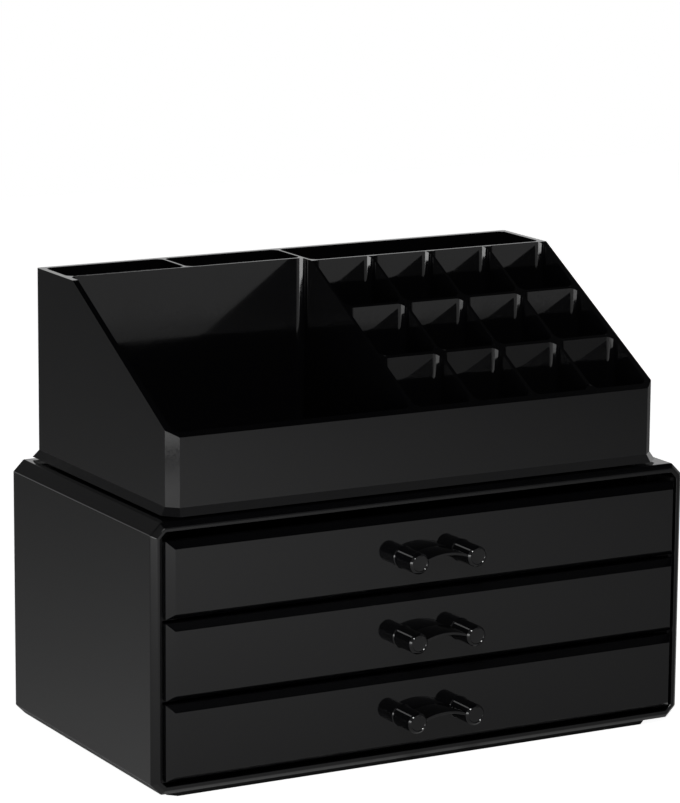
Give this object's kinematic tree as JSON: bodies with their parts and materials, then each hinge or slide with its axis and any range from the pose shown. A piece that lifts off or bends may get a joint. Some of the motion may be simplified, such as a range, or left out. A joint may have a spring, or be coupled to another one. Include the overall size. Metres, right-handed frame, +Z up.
{
  "type": "brush holder with drawer",
  "caption": "Desktop vanity chest with slide-out drawers under a lift-off tray that holds make-up brushes, lipsticks and bottles.",
  "frame": {"origin": "middle of the base, on the surface the chest stands on", "axes": "+Z up, drawers face -Y, +X to the right of someone facing the drawers"},
  "size_m": [0.24, 0.145, 0.1886],
  "materials": {
    "casing": "polished black polystyrene",
    "front": "polished black polystyrene",
    "bin": "moulded black polystyrene",
    "tray": "polished black polystyrene",
    "handle": "polished black polystyrene",
    "runner": "satin black moulded plastic",
    "plinth": "satin black moulded plastic",
    "screw": "zinc-plated steel"
  },
  "bodies": {
    "chest": {"chest_casing": "casing", "back_panel": "casing", "base_plinth": "plinth", "runner_rack_left": "runner", "runner_rack_right": "runner"},
    "drawer_bottom": {"drawer_bin_bottom": "bin", "drawer_front_bottom": "front", "drawer_handle_bottom": "handle", "handle_screws_bottom": "screw"},
    "drawer_middle": {"drawer_bin_middle": "bin", "drawer_front_middle": "front", "drawer_handle_middle": "handle", "handle_screws_middle": "screw"},
    "drawer_top": {"drawer_bin_top": "bin", "drawer_front_top": "front", "drawer_handle_top": "handle", "handle_screws_top": "screw"},
    "tray": {"tray_body": "tray", "tray_plinth": "plinth"}
  },
  "joints": [
    {"name": "drawer_bottom_slide", "type": "slide", "parent": "chest", "child": "drawer_bottom", "axis": [0, -1, 0], "range_m": [0, 0.092]},
    {"name": "drawer_middle_slide", "type": "slide", "parent": "chest", "child": "drawer_middle", "axis": [0, -1, 0], "range_m": [0, 0.092]},
    {"name": "drawer_top_slide", "type": "slide", "parent": "chest", "child": "drawer_top", "axis": [0, -1, 0], "range_m": [0, 0.092]},
    {"name": "tray_lift", "type": "slide", "parent": "chest", "child": "tray", "axis": [0, 0, 1], "range_m": [0, 0.12]}
  ]
}
